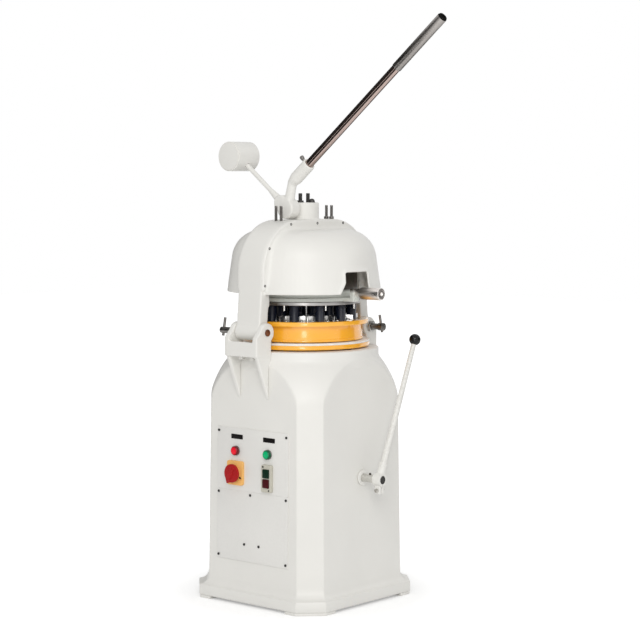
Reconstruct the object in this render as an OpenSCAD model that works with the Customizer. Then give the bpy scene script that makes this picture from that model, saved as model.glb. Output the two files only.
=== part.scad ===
// Floor-standing dough divider and rounder with a tilting press head.
// The origin is on the machine's upright axis at floor level, the operator stands on the -Y side.

/* [Base] */
// Width of the base plate across its flats
base_w = 600; // [580:1:630]
// Corner cut of the base plate, measured along one side
base_cut = 74; // [64:1:86]
// Height of the foot pads under the base plate
pad_h = 10; // [7:1:14]
// Straight height of the base plate's edge
plate_h = 38; // [30:1:46]
// Height of the sloped flare above the base plate
flare_h = 38; // [30:1:46]
// Width of the body just above the flare
body_low_w = 543; // [538:1:548]
// Width of the body where the round shoulder starts
body_high_w = 529; // [526:1:532]
// Corner cut of the body, measured along one side
body_cut = 64; // [60:1:70]
// Wall thickness of the body casting
wall = 10; // [8:1:13]
// Height of the centre of the round shoulder
shoulder_z = 633; // [620:1:645]
// Radius of the round shoulder
shoulder_r = 335; // [334:0.5:337]
// Radius of the round collar that carries the table
collar_r = 262; // [260:0.5:265]
// Height of the collar's top above the floor
deck_z = 880; // [872:1:888]
// Radius of the four anchor holes in the foot pads
anchor_r = 7; // [5:0.5:8]

/* [Controls] */
// Half width of the two panels on the left side
panel_half = 166; // [160:1:172]
// Thickness of the sheet panels
panel_t = 3; // [2:0.5:4]
// Height of the seam between the upper and the lower panel
seam_z = 394; // [388:1:400]
// Sideways place of the lamp columns, each way from the middle
column_y = 75; // [68:1:80]
// Height of the lamps
lamp_z = 531; // [526:1:536]
// Height of the main switch and the push buttons
switch_z = 454; // [450:1:458]
// Travel of a push button
button_travel = 4; // [3:0.5:5]

/* [Rounding table] */
// Radius of the moulding table and of the plate on it
table_r = 236; // [232:1:239]
// Thickness of the moulding table
table_t = 15; // [12:1:18]
// Thickness of the loose moulding plate
mould_t = 7; // [5:1:9]
// Throw of the crank that moves the table
throw = 8; // [5:1:9]
// Radius of the crank shaft
crank_r = 25; // [20:1:28]
// Height of the rounding lever's shaft
round_z = 441; // [432:1:450]
// Radius of the rounding lever's shaft
round_r = 14; // [12:0.5:16]
// Length of the rounding lever from shaft to ball
round_len = 507; // [470:1:540]
// Lean of the rounding lever from upright, towards +X
round_lean = 22.3; // [15:0.1:30]
// Radius of the black ball
ball_r = 20; // [17:0.5:23]

/* [Press head] */
// Outer radius of the divider ring's band
ring_r = 205; // [203:0.5:208]
// Height of the divider ring
ring_h = 70; // [66:1:74]
// Radius of the bore of the divider ring
ring_bore_r = 190.5; // [189:0.5:192]
// Outer radius of the press disc's rim
disc_r = 197; // [194:0.5:199]
// Radius of the drum above the press disc
drum_r = 186; // [182:0.5:188]
// Thickness of a knife blade
blade_t = 2; // [1.5:0.5:3]
// Radius of the plunger
plunger_r = 35; // [30:1:38]
// Radius of the knife lock handle's grip
handle_r = 21; // [18:0.5:22]

/* [Head frame] */
// Width of the arch, front to rear
arch_w = 108; // [104:1:112]
// Half length of the arch over its legs
arch_half = 279; // [276:1:282]
// Rise of the arch's flat top above the deck
arch_rise = 447; // [442:1:452]
// Thickness of the arch's legs
leg_t = 42; // [38:1:45]
// Height of the boss on the arch
boss_h = 59; // [56:1:64]
// Radius of the boss on the arch
boss_r = 52; // [50:0.5:56]
// Sideways place of the hinge pin and the lock screw, each way
hinge_x = 271; // [269:0.5:273]
// Rise of the hinge pin above the deck
hinge_rise = 67; // [64:0.5:70]
// Radius of the hinge pin and the lock screw
pin_r = 11; // [9:0.5:12]
// Radius of the round eyes about the pins
eye_r = 33; // [30:0.5:35]
// Thickness of the bracket cheeks
cheek_t = 21; // [18:1:24]
// Outer radius of the covers at the start of their round top
dome_r = 252.9; // [250:0.1:255]
// Thickness of the covers
cover_t = 5; // [4:0.5:6]

/* [Press lever] */
// Sideways place of the lever, from the machine's axis towards -X
lever_x = 85; // [83:0.5:90]
// Radius of the lever's cross shaft
cross_r = 12; // [10:0.5:13]
// Angle of the lever's tube above level
tube_tilt = 39.3; // [34:0.1:44]
// Radius of the lever's tube
tube_r = 15; // [13:0.5:16]
// Length of the bare tube from the socket's mouth to the grip
tube_len = 494; // [450:1:540]
// Length of the grip sleeve
grip_len = 242; // [200:1:260]
// Radius of the counterweight
weight_r = 52; // [46:1:56]
// Length of the counterweight
weight_len = 110; // [100:1:120]

/* [Hidden] */
$fn = 64;
eps = 0.02;
// How far a straight side starts inside the arc that it runs into
tuck = 0.1;
// Gap of sliding faces, and of round pieces that turn in a bore
slide_gap = 0.4;
run_gap = 0.05;
big = 1200;

plate_z = pad_h + plate_h;
body_z = plate_z + flare_h;
draft = atan((body_low_w - body_high_w) / 2 / (shoulder_z - body_z));
anchor_at = base_w / 2 - 62;

glide_h = 5;
table_z = deck_z + glide_h + slide_gap;
mould_z = table_z + table_t;
ring_z = mould_z + mould_t + 3;
ring_top = ring_z + ring_h;
ring_lip_h = 15;
ring_lip_r = ring_r + 21;
seg_t = 10;
seg_z = ring_top - 18;
seg_r = ring_bore_r - 0.8;
disc_z = ring_top + 55;
disc_t = 11;
drum_z = disc_z + disc_t;
drum_h = 104;
drum_wall = 10;
knife_r1 = seg_r * 0.447;
knife_r2 = seg_r * 0.774;
knife_h = seg_t + 24;
pillar_r = 17;
lens_r = 16;
knob_r = 32;
button_w = 28;
button_step = 17;
knife_gap = 1.2;
rod_r = 5;
rod_at = (knife_r1 + knife_r2) / 2;

cover_z = deck_z + 195;
dome_arc = 105;
dome_lean = 8.2;
dome_c = dome_r - dome_arc * cos(dome_lean);
dome_cz = cover_z + 111;

arch_z = deck_z + arch_rise;
arch_arc = 180;
arch_c = arch_half - arch_arc;
crown_t = 44;
hinge_z = deck_z + hinge_rise;
lock_z = hinge_z - 8;
foot_half = arch_half + 9;
foot_z = hinge_z + 38;
knee_z = cover_z + 15;
cheek_in = arch_w / 2 + slide_gap;
cheek_out = cheek_in + cheek_t;
bracket_x = 327;
bracket_z = deck_z - 15;

cross_z = arch_z + 38;
hub_r = cross_z - arch_z - 2;
boss_top = arch_z + boss_h;
bend_y = -22;
bend_z = cross_z + 91;
socket_len = 102;
socket_r = tube_r + 8;
weight_y = 233;
weight_z = cross_z + 182;
arm_tilt = atan2(weight_z - cross_z, weight_y);

round_y = half_at(round_z) + 77.5;
handle_z = drum_z + 31;
handle_in = 236;
handle_len = 111;

belt_z = 605;
pulley_r = 80;
small_r = 36;
motor_y = pulley_r + small_r + 34;
motor_r = 78;
motor_len = 240;

rear_w = 2 * panel_half - 32;
rear_h = upper_z() - lower_z() - 42;
rear_z = (upper_z() + lower_z()) / 2 + 1;

paint = [0.89, 0.885, 0.865];
steel = [0.72, 0.72, 0.73];
dark = [0.13, 0.13, 0.14];
orange = [0.98, 0.62, 0.13];

// Half width of the drafted body at a height.
function half_at(z) =
    body_low_w / 2 + (body_high_w - body_low_w) / 2 * (z - body_z) / (shoulder_z - body_z);

// A slab with sloped sides, long in Y.
module slab(h0, z0, h1, z1) {
    rotate([90, 0, 0])
        linear_extrude(big, center = true)
            polygon([[-h0, z0], [h0, z0], [h1, z1], [-h1, z1]]);
}

// A square pillar with cut corners whose sides lean evenly from one height to another.
module cut_pillar(h0, c0, z0, h1, c1, z1) {
    d0 = (2 * h0 - c0) / sqrt(2);
    d1 = (2 * h1 - c1) / sqrt(2);
    intersection() {
        slab(h0, z0, h1, z1);
        rotate([0, 0, 90])
            slab(h0, z0, h1, z1);
        rotate([0, 0, 45])
            slab(d0, z0, d1, z1);
        rotate([0, 0, -45])
            slab(d0, z0, d1, z1);
    }
}

// Everything below the shoulder's centre, and the ball that rounds the shoulder above it.
module shoulder_form(r) {
    translate([-big / 2, -big / 2, -1])
        cube([big, big, shoulder_z + 1]);
    translate([0, 0, shoulder_z])
        sphere(r);
}

// The upper body without its hollow: also cuts the backs of the brackets to fit it.
module upper_form() {
    intersection() {
        cut_pillar(half_at(body_z), body_cut, body_z, half_at(deck_z), body_cut, deck_z);
        shoulder_form(shoulder_r);
    }
    translate([0, 0, deck_z - 60])
        cylinder(r = collar_r, h = 60);
}

// Places children on the left (-X) face: their Z points outwards, X up the face and Y towards +Y.
module on_left(y, z) {
    translate([-half_at(z), y, z])
        rotate([0, -90 + draft, 0])
            children();
}

module on_rear(x, z) {
    rotate([0, 0, -90])
        on_left(x, z)
            children();
}

// A flat plate with rounded corners, centred, standing on its Z = 0 face.
module round_plate(a, b, r, t) {
    linear_extrude(t) {
        square([a - 2 * r, b], center = true);
        square([a, b - 2 * r], center = true);
        for (x = [-1, 1], y = [-1, 1])
            translate([x * (a / 2 - r), y * (b / 2 - r)])
                circle(r);
    }
}

// A cylinder along X, centred at its middle.
module x_bar(r, len) {
    rotate([0, 90, 0])
        cylinder(r = r, h = len, center = true);
}

// A cylinder along Y from y0 to y1.
module y_bar(r, y0, y1) {
    translate([0, y0, 0])
        rotate([-90, 0, 0])
            cylinder(r = r, h = y1 - y0);
}

module body_casting() {
    color(paint)
        difference() {
            union() {
                body_core();
                cut_pillar(base_w / 2, base_cut, pad_h, base_w / 2, base_cut, plate_z);
                body_flare();
                upper_form();
                translate([0, 0, round_z])
                    y_bar(30, -half_at(round_z) - 3, -half_at(round_z) + wall + 20);
            }
            body_hollow();
            translate([0, 0, deck_z - 100])
                cylinder(r = crank_r + 35, h = 101);
            on_left(0, (seam_z + lower_z()) / 2)
                cube([seam_z - lower_z() - 40, 2 * panel_half - 50, 4 * wall], center = true);
            on_left(0, (upper_z() + seam_z) / 2)
                cube([upper_z() - seam_z - 40, 2 * panel_half - 50, 4 * wall], center = true);
            on_rear(0, rear_z)
                cube([rear_h - 40, rear_w - 40, 4 * wall], center = true);
            translate([0, 0, round_z])
                y_bar(round_r + 9, -half_at(round_z) - 10, -half_at(round_z) + wall + 40);
        }
}

// A plain pillar inside the plate, the flare and the foot of the body, which joins them.
module body_core() {
    half = min(base_w / 2, half_at(body_z)) - 2;
    cut = max(base_cut, body_cut);
    cut_pillar(half, cut, pad_h + 1, half, cut, body_z + 10);
}

// Three leaning steps stand for the hollow flare between the base plate and the body.
module body_flare() {
    low = base_w / 2;
    high = half_at(body_z);
    in_at = [0, 0.5, 0.82, 1];
    up_at = [0, 0.18, 0.5, 1];
    for (i = [0 : 2])
        cut_pillar(
            low + (high - low) * in_at[i], base_cut + (body_cut - base_cut) * in_at[i], plate_z + flare_h * up_at[i],
            low + (high - low) * in_at[i + 1], base_cut + (body_cut - base_cut) * in_at[i + 1],
            plate_z + flare_h * up_at[i + 1]
        );
}

module body_hollow() {
    thin = wall * (2 - sqrt(2));
    low = min(base_w / 2, half_at(body_z)) - wall;
    intersection() {
        cut_pillar(
            half_at(body_z) - wall, body_cut - thin, body_z, half_at(deck_z) - wall, body_cut - thin, deck_z - 30
        );
        shoulder_form(shoulder_r - wall);
    }
    cut_pillar(low, max(base_cut, body_cut) - thin, pad_h - 1, low, max(base_cut, body_cut) - thin, body_z + 1);
}

module foot_pads() {
    side = 2 * (base_w / 2 - anchor_at);
    color(paint)
        for (x = [-1, 1], y = [-1, 1])
            difference() {
                intersection() {
                    cut_pillar(base_w / 2 - 1, base_cut, 0, base_w / 2 - 1, base_cut, pad_h);
                    translate([x * anchor_at, y * anchor_at, pad_h / 2])
                        cube([side, side, pad_h + 2], center = true);
                }
                translate([x * anchor_at, y * anchor_at, -1])
                    cylinder(r = anchor_r, h = pad_h + 2);
            }
}

// One pair of cheeks with round eyes, drawn for the -X side, with the pin at height z.
module cheeks(z, hole_r) {
    for (y = [-1, 1])
        translate([0, y * (cheek_in + cheek_t / 2), 0])
            rotate([90, 0, 0])
                linear_extrude(cheek_t, center = true)
                    difference() {
                        union() {
                            translate([-hinge_x, z])
                                circle(eye_r);
                            polygon([
                                [-bracket_x, bracket_z], [-table_r - throw - 8, bracket_z],
                                [-table_r - throw - 8, mould_z + 20], [-hinge_x + eye_r - 6, z - 12],
                                [-hinge_x - eye_r * 0.94, z + eye_r * 0.34], [-bracket_x, z - 18]
                            ]);
                        }
                        translate([-hinge_x, z])
                            circle(hole_r);
                    }
}

module hinge_bracket() {
    wall_z = hinge_z - eye_r - 2;
    color(paint)
        difference() {
            union() {
                cheeks(hinge_z, pin_r + run_gap);
                translate([-bracket_x, -cheek_in - 1, bracket_z])
                    cube([bracket_x - table_r - throw - 8, 2 * cheek_in + 2, wall_z - 8 - bracket_z]);
                translate([-bracket_x, -cheek_in - 1, bracket_z])
                    cube([14, 2 * cheek_in + 2, wall_z + 4 - bracket_z]);
                for (y = [-1, 1])
                    translate([0, y * (cheek_out - 10), 0])
                        rotate([90, 0, 0])
                            linear_extrude(16, center = true)
                                polygon([
                                    [-bracket_x + 6, bracket_z + 1], [-half_at(deck_z - 165), deck_z - 165],
                                    [-200, deck_z - 165], [-200, bracket_z + 1]
                                ]);
            }
            upper_form();
        }
}

module bracket_bolts() {
    color(paint)
        for (y = [-26, 26])
            translate([-bracket_x + 32, y, bracket_z - 12])
                cylinder(r = 8, h = 12);
}

module lock_bracket() {
    top_z = lock_z - eye_r - 6;
    color(paint)
        difference() {
            mirror([1, 0, 0])
                union() {
                    cheeks(lock_z, pin_r + run_gap);
                    translate([-bracket_x, -cheek_in - 1, bracket_z])
                        cube([bracket_x - table_r - throw - 8, 2 * cheek_in + 2, top_z - bracket_z]);
                }
            mirror([1, 0, 0])
                translate([-bracket_x - 1, -big / 2, bracket_z - 1])
                    cube([16, big, big]);
            upper_form();
        }
}

function lower_z() = body_z + 62;
function upper_z() = lamp_z + 79;

module control_panel() {
    color(paint)
        on_left(0, (upper_z() + seam_z + 1) / 2)
            round_plate(upper_z() - seam_z - 1, 2 * panel_half, 4, panel_t);
}

module lower_panel() {
    color(paint)
        on_left(0, (seam_z + lower_z()) / 2)
            round_plate(seam_z - lower_z() - 1, 2 * panel_half, 4, panel_t);
}

module rear_panel() {
    color(paint)
        on_rear(0, rear_z)
            round_plate(rear_h, rear_w, 4, panel_t);
}

module screw_head() {
    difference() {
        cylinder(r = 4.5, h = 3);
        translate([0, 0, 1.4])
            cylinder(r = 2, h = 3);
    }
}

module panel_screws() {
    edge = panel_half - 8;
    color(dark) {
        for (y = [-edge, edge], z = [upper_z() - 14, seam_z - 12, lower_z() + 12])
            on_left(y, z)
                translate([0, 0, panel_t])
                    screw_head();
        for (at = [[8, seam_z - 12], [35, lower_z() + 60], [-33, lower_z() + 60]])
            on_left(at[0], at[1])
                translate([0, 0, panel_t])
                    screw_head();
        for (x = [-1, 1], z = [-1, 0, 1])
            on_rear(x * (rear_w / 2 - 8), rear_z + z * (rear_h / 2 - 10))
                translate([0, 0, panel_t])
                    screw_head();
    }
}

module legend_plates() {
    color(dark)
        for (y = [-column_y - 3, column_y - 3])
            on_left(y, lamp_z + 49)
                translate([0, 0, panel_t])
                    round_plate(16, 54, 1.5, 1.5);
}

module lamp_bezels() {
    color(steel)
        for (y = [-column_y, column_y])
            on_left(y, lamp_z)
                translate([0, 0, panel_t])
                    difference() {
                        cylinder(r = lens_r + 1, h = 4);
                        translate([0, 0, 2])
                            cylinder(r = lens_r - 1.9, h = 6);
                    }
}

module lamp_lens() {
    translate([0, 0, panel_t + 2]) {
        cylinder(r = lens_r - 2, h = 6);
        translate([0, 0, 2])
            cylinder(r = lens_r, h = 8);
        translate([0, 0, 10])
            cylinder(r1 = lens_r, r2 = lens_r - 4, h = 4);
    }
}

module red_lens() {
    color([0.85, 0.12, 0.12])
        on_left(column_y, lamp_z)
            lamp_lens();
}

module green_lens() {
    color([0.1, 0.6, 0.3])
        on_left(-column_y, lamp_z)
            lamp_lens();
}

module switch_plate() {
    color([0.98, 0.78, 0.12])
        on_left(column_y, switch_z)
            translate([0, 0, panel_t])
                difference() {
                    union() {
                        round_plate(84, 74, 9, 9);
                        translate([0, 0, 8])
                            cylinder(r = 24, h = 6);
                    }
                    translate([0, 0, 9])
                        cylinder(r = 11, h = 8);
                    translate([-18, -28, 5])
                        cylinder(r = 3.5, h = 8);
                }
}

module switch_knob() {
    base = panel_t + 14 + slide_gap;
    color([0.85, 0.13, 0.12])
        on_left(column_y, switch_z)
            rotate([0, 0, 150]) {
                translate([0, 0, panel_t + 9 + slide_gap])
                    cylinder(r = 11 - run_gap, h = 6);
                translate([0, 0, base])
                    cylinder(r = 16, h = 9);
                translate([0, 0, base + 4])
                    linear_extrude(10) {
                        circle(knob_r);
                        rotate(-45)
                            square(knob_r - 2);
                    }
                translate([0, 0, base + 13])
                    round_plate(2 * knob_r - 10, 16, 7, 6);
            }
}

module button_frame() {
    color([0.72, 0.7, 0.65])
        on_left(-column_y, switch_z - 5)
            translate([0, 0, panel_t])
                difference() {
                    round_plate(94, button_w + 17, 5, 12);
                    for (x = [-button_step, button_step])
                        translate([x, 0, 5])
                            linear_extrude(10)
                                square([30, button_w], center = true);
                }
}

module push_button(x) {
    on_left(-column_y, switch_z - 5)
        translate([x, 0, panel_t + 5 + button_travel + 0.5])
            linear_extrude(7)
                square([30 - 2 * slide_gap, button_w - 2 * slide_gap], center = true);
}

module start_button() {
    color([0.1, 0.25, 0.16])
        push_button(button_step);
}

module stop_button() {
    color([0.4, 0.08, 0.1])
        push_button(-button_step);
}

module lever_bush() {
    face = -half_at(round_z) - 3;
    color(steel)
        translate([0, 0, round_z])
            difference() {
                union() {
                    y_bar(round_r + 9, face, face + wall + 26);
                    y_bar(round_r + 13, face - 4, face);
                }
                y_bar(round_r + run_gap, face - 5, face + wall + 30);
            }
}

module bearing_housing() {
    color(steel)
        difference() {
            union() {
                translate([0, 0, deck_z - 100])
                    cylinder(r = crank_r + 35, h = 96);
                translate([0, 0, deck_z - 48])
                    cylinder(r = crank_r + 62, h = 18);
            }
            translate([0, 0, deck_z - 101])
                cylinder(r = crank_r + run_gap, h = 100);
        }
}

module glide_pads() {
    color([0.2, 0.2, 0.21])
        for (a = [30, 150, 270])
            rotate([0, 0, a])
                translate([collar_r - 72, 0, deck_z])
                    cylinder(r = 22, h = glide_h);
}

module motor() {
    color([0.32, 0.36, 0.4])
        translate([0, motor_y, 0]) {
            translate([0, 0, belt_z - 20 - motor_len])
                cylinder(r = motor_r, h = motor_len);
            translate([0, 0, belt_z - 32])
                cylinder(r = motor_r + 17, h = 12);
            translate([0, 0, belt_z - 50 - motor_len])
                cylinder(r = motor_r - 8, h = 31);
        }
}

module motor_plate() {
    deep = half_at(belt_z) - wall;
    color(steel)
        difference() {
            translate([-motor_r - 52, crank_r + 15, belt_z - 20])
                cube([2 * motor_r + 104, deep - crank_r - 15, 8]);
            translate([0, motor_y, belt_z - 30])
                cylinder(r = 32, h = 30);
            rotate([0, 0, 90])
                translate([deep, 0, belt_z])
                    rotate([0, draft, 0])
                        translate([0, -big / 2, -big / 2])
                            cube(big);
        }
}

module motor_pulley() {
    color(steel)
        translate([0, motor_y, belt_z - 12]) {
            difference() {
                cylinder(r = small_r + 6, h = 34);
                translate([0, 0, 6])
                    difference() {
                        cylinder(r = small_r + 10, h = 22);
                        translate([0, 0, -1])
                            cylinder(r = small_r, h = 24);
                    }
            }
            translate([0, 0, -7.5])
                cylinder(r = 14, h = 8);
        }
}

module drive_belt() {
    out = 7;
    lean = asin((pulley_r - small_r) / motor_y);
    color([0.09, 0.09, 0.1])
        translate([0, 0, belt_z - 2])
            linear_extrude(14)
                difference() {
                    belt_form(pulley_r + out, small_r + out, lean);
                    belt_form(pulley_r + 0.4, small_r + 0.4, lean);
                }
}

module belt_form(r0, r1, lean) {
    circle(r0);
    translate([0, motor_y])
        circle(r1);
    a = (r0 - tuck) * [cos(lean), sin(lean)];
    b = (r1 - tuck) * [cos(lean), sin(lean)];
    polygon([
        [-a[0], a[1]], [a[0], a[1]],
        [b[0], motor_y + b[1]], [-b[0], motor_y + b[1]]
    ]);
}

module crank_shaft() {
    color(steel) {
        translate([0, 0, belt_z - 30])
            cylinder(r = crank_r - 5, h = deck_z - 60 - belt_z);
        translate([0, 0, deck_z - 101])
            cylinder(r = crank_r, h = 97);
        translate([0, throw, deck_z - 5])
            cylinder(r = 14, h = table_z + table_t - 4 - deck_z + 5);
    }
}

module crank_pulley() {
    color(steel)
        translate([0, 0, belt_z - 12])
            difference() {
                cylinder(r = pulley_r + 6, h = 34);
                translate([0, 0, 6])
                    difference() {
                        cylinder(r = pulley_r + 10, h = 22);
                        translate([0, 0, -1])
                            cylinder(r = pulley_r, h = 24);
                    }
                translate([0, 0, -1])
                    cylinder(r = crank_r - 5, h = 40);
            }
}

module moulding_table() {
    color(orange)
        translate([0, throw, table_z])
            difference() {
                cylinder(r = table_r, h = table_t);
                translate([0, 0, -1])
                    cylinder(r = 14 + run_gap, h = table_t - 3 + 1 + eps);
            }
}

module moulding_plate() {
    color([0.95, 0.95, 0.94])
        translate([0, throw, mould_z])
            cylinder(r = table_r - 1, h = mould_t);
}

// Places children at the rounding lever's clamp, Z along the lever.
module on_round_lever() {
    translate([0, -round_y, round_z])
        rotate([0, round_lean, 0])
            children();
}

module lever_shaft() {
    color(steel)
        translate([0, 0, round_z])
            y_bar(round_r, -round_y - 11, -half_at(round_z) + wall + 90);
}

module lever_clamp() {
    color(paint)
        difference() {
            union() {
                translate([0, 0, round_z])
                    y_bar(round_r + 9, -round_y - 16, -round_y + 16);
                on_round_lever()
                    cylinder(r1 = 17, r2 = 13, h = 58);
                translate([-13, -round_y - 11, round_z - 48])
                    cube([26, 22, 34]);
            }
            translate([0, 0, round_z])
                y_bar(round_r, -round_y - 20, -round_y + 20);
            translate([-1.5, -round_y - 20, round_z - 60])
                cube([3, 40, 60]);
            on_round_lever()
                translate([0, 0, 30])
                    cylinder(r = 9, h = 40);
        }
}

module lever_rod() {
    color(paint)
        on_round_lever() {
            translate([0, 0, 30])
                cylinder(r = 9, h = 30);
            translate([0, 0, 60])
                cylinder(r1 = 9, r2 = 7, h = round_len - ball_r - 54);
        }
}

module lever_ball() {
    color([0.03, 0.03, 0.03])
        on_round_lever()
            difference() {
                translate([0, 0, round_len])
                    sphere(ball_r);
                cylinder(r = 7, h = round_len - ball_r + 6);
            }
}

module clamp_screws() {
    color(dark) {
        translate([0, -round_y, round_z - 36]) {
            translate([13, 0, 0])
                rotate([0, 90, 0])
                    cylinder(r = 6, h = 7);
            translate([-21, 0, 0])
                rotate([0, 90, 0])
                    cylinder(r = 7, h = 8, $fn = 6);
        }
        translate([0, -half_at(round_z) - 36, round_z + round_r - 1])
            cylinder(r = 4, h = 6);
    }
}

// A tee bar across a pin, leaning a little from upright.
module tee_bar(y, lean) {
    translate([0, y, 0])
        rotate([0, lean, 0])
            translate([0, 0, -pin_r - 9])
                cylinder(r = 4.5, h = 64);
}

module hinge_pin() {
    color([0.5, 0.3, 0.2])
        translate([-hinge_x, 0, hinge_z]) {
            y_bar(pin_r, -cheek_out - 2, cheek_out + 66);
            tee_bar(cheek_out + 56, 10);
        }
}

module lock_screw() {
    color(steel)
        translate([hinge_x, 0, lock_z]) {
            y_bar(pin_r, -cheek_out - 62, cheek_out + 6);
            y_bar(pin_r + 3, -cheek_out - 64, -cheek_out - 44);
            tee_bar(-cheek_out - 54, -13);
        }
}

module lock_nut() {
    color(steel)
        translate([hinge_x, 0, lock_z])
            difference() {
                translate([0, -cheek_out - 13, 0])
                    rotate([-90, 0, 0])
                        cylinder(r = 21, h = 13, $fn = 6);
                y_bar(pin_r + run_gap, -cheek_out - 20, -cheek_out + 5);
            }
}

// Outline of the arch from the front, X to the right and Z up; d moves it inwards.
module arch_outline(d) {
    r = arch_arc - d;
    for (s = [-1, 1])
        translate([s * arch_c, arch_z - arch_arc])
            circle(r);
    translate([-arch_c, arch_z - arch_arc])
        square([2 * arch_c, r - tuck]);
    translate([-arch_half + d + tuck, knee_z])
        square([2 * (arch_half - d - tuck), arch_z - arch_arc - knee_z]);
}

module arch_opening() {
    half = arch_half - leg_t;
    r = 118;
    c = half - r;
    z = arch_z - crown_t - r;
    for (s = [-1, 1])
        translate([s * c, z])
            circle(r);
    translate([-c, z])
        square([2 * c, r - tuck]);
    translate([-half + tuck, hinge_z - 80])
        square([2 * (half - tuck), z - hinge_z + 80]);
}

// One foot of the arch, drawn for the +X side, with its pin at height z.
module foot_outline(z) {
    polygon([
        [arch_half, knee_z + 1], [arch_half - leg_t, knee_z + 1], [hinge_x - 23, z + 22],
        [hinge_x - eye_r + 9, z], [hinge_x + eye_r - 9, z], [foot_half, foot_z]
    ]);
    translate([hinge_x, z])
        circle(eye_r - 4);
}

module arch_frame() {
    color(paint)
        difference() {
            union() {
                rotate([90, 0, 0])
                    linear_extrude(arch_w, center = true) {
                        difference() {
                            arch_outline(0);
                            arch_opening();
                        }
                        foot_outline(lock_z);
                        mirror([1, 0])
                            foot_outline(hinge_z);
                    }
                translate([0, 0, arch_z - crown_t - 58])
                    cylinder(r = min(plunger_r + 18, arch_w / 2 - 1), h = crown_t + 58);
                translate([0, 0, arch_z - 10])
                    cylinder(r = boss_r, h = boss_h + 10);
            }
            translate([0, 0, arch_z - crown_t - 60])
                cylinder(r = plunger_r + run_gap, h = crown_t + 64);
            translate([0, 0, cross_z])
                x_bar(cross_r + run_gap, 2 * boss_r + 20);
            translate([-hinge_x, 0, hinge_z])
                y_bar(pin_r + run_gap, -arch_w, arch_w);
            translate([hinge_x, 0, lock_z]) {
                y_bar(pin_r + 1, -arch_w, arch_w);
                translate([-pin_r - 1, -arch_w, -60])
                    cube([2 * pin_r + 2, 2 * arch_w, 60]);
            }
        }
}

// Section of a cover from the axis outwards; t is how far inside the outer skin.
module dome_section(t) {
    r = dome_arc - t;
    p = [dome_c, dome_cz] + (r - tuck) * [cos(dome_lean), sin(dome_lean)];
    low = cover_z - (t > 0 ? 1 : 0);
    top = dome_cz + r - tuck;
    polygon([
        [0, low], [p[0] + (p[1] - low) * tan(dome_lean), low], p, [dome_c, top], [0, top]
    ]);
    translate([dome_c, dome_cz])
        circle(r);
}

// The front cover with its flange, before the notch is cut.
module half_cover() {
    flange_t = 8;
    front = arch_w / 2;
    difference() {
        union() {
            intersection() {
                rotate_extrude()
                    dome_section(0);
                translate([-big / 2, -big - front, 0])
                    cube([big, big, 2 * big]);
            }
            translate([0, -front, 0])
                rotate([90, 0, 0])
                    linear_extrude(flange_t)
                        intersection() {
                            arch_outline(2);
                            translate([-big / 2, cover_z + 12])
                                square([big, big]);
                        }
        }
        rotate_extrude()
            dome_section(cover_t);
    }
}

module front_cover() {
    low = cover_z - 5;
    color(paint)
        difference() {
            half_cover();
            translate([0, -arch_w / 2 - 60, 0])
                rotate([90, 0, 0])
                    linear_extrude(big)
                        polygon([[-97, low], [-72, cover_z + 40], [-70, cover_z + 75], [34, cover_z + 75], [34, low]]);
        }
}

module rear_cover() {
    color(paint)
        rotate([0, 0, 180])
            half_cover();
}

module cover_screws() {
    in = 10;
    arc = arch_arc - in;
    side = arch_half - in;
    tilt = 30;
    spots = [
        [0, arch_z - in - 3], [arch_c + arc * cos(77), arch_z - arch_arc + arc * sin(77)],
        [arch_c + arc * cos(tilt), arch_z - arch_arc + arc * sin(tilt)], [side, cover_z + 31]
    ];
    color(dark)
        for (s = [-1, 1], f = [0, 180], p = spots)
            if (s > 0 || p[0] > 0)
                rotate([0, 0, f])
                    translate([s * p[0], -arch_w / 2 - 8, p[1]])
                        rotate([90, 0, 0])
                            screw_head();
}

module arch_studs() {
    color(steel)
        for (x = [-133, 133], y = [-12, 12])
            translate([x, y, 0]) {
                translate([0, 0, arch_z - 20])
                    cylinder(r = 4.5, h = 68);
                if (x > 0)
                    translate([0, 0, arch_z - 1])
                        cylinder(r = 8, h = 9, $fn = 6);
            }
}

module boss_studs() {
    color(dark) {
        for (x = [-20, 20])
            translate([x, 0, boss_top - 6])
                cylinder(r = 7, h = 38);
        translate([0, -36, boss_top]) {
            cylinder(r = 9.5, h = 5, $fn = 6);
            cylinder(r = 6, h = 11);
        }
    }
}

module ring_guides() {
    out = arch_half - leg_t + 12;
    color(steel)
        for (s = [-1, 1]) {
            difference() {
                translate([s > 0 ? guide_x() - 11 : -out, -15, disc_z])
                    cube([out - guide_x() + 11, 30, 16]);
                arch_cut();
            }
            translate([s * guide_x(), 0, ring_top - ring_lip_h - 9]) {
                cylinder(r = 6, h = disc_z - ring_top + ring_lip_h + 9 + 2);
                cylinder(r = 10, h = 8, $fn = 6);
            }
        }
}

function guide_x() = ring_lip_r + 2;

// The arch's legs and feet as one slab, to cut the backs of the ring guides.
module arch_cut() {
    rotate([90, 0, 0])
        linear_extrude(arch_w, center = true) {
            difference() {
                arch_outline(0);
                arch_opening();
            }
            foot_outline(lock_z);
            mirror([1, 0])
                foot_outline(hinge_z);
        }
}

module press_shaft() {
    color(steel)
        translate([-(lever_x + 9 - boss_r) / 2, 0, cross_z])
            x_bar(cross_r, lever_x + 9 + boss_r);
}

// Places children at the bend of the press lever, Z along its tube.
module on_tube() {
    translate([-lever_x, bend_y, bend_z])
        rotate([90 - tube_tilt, 0, 0])
            children();
}

// Places children at the cross shaft, Z along the counterweight's arm.
module on_arm() {
    translate([-lever_x, 0, cross_z])
        rotate([arm_tilt - 90, 0, 0])
            children();
}

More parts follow.
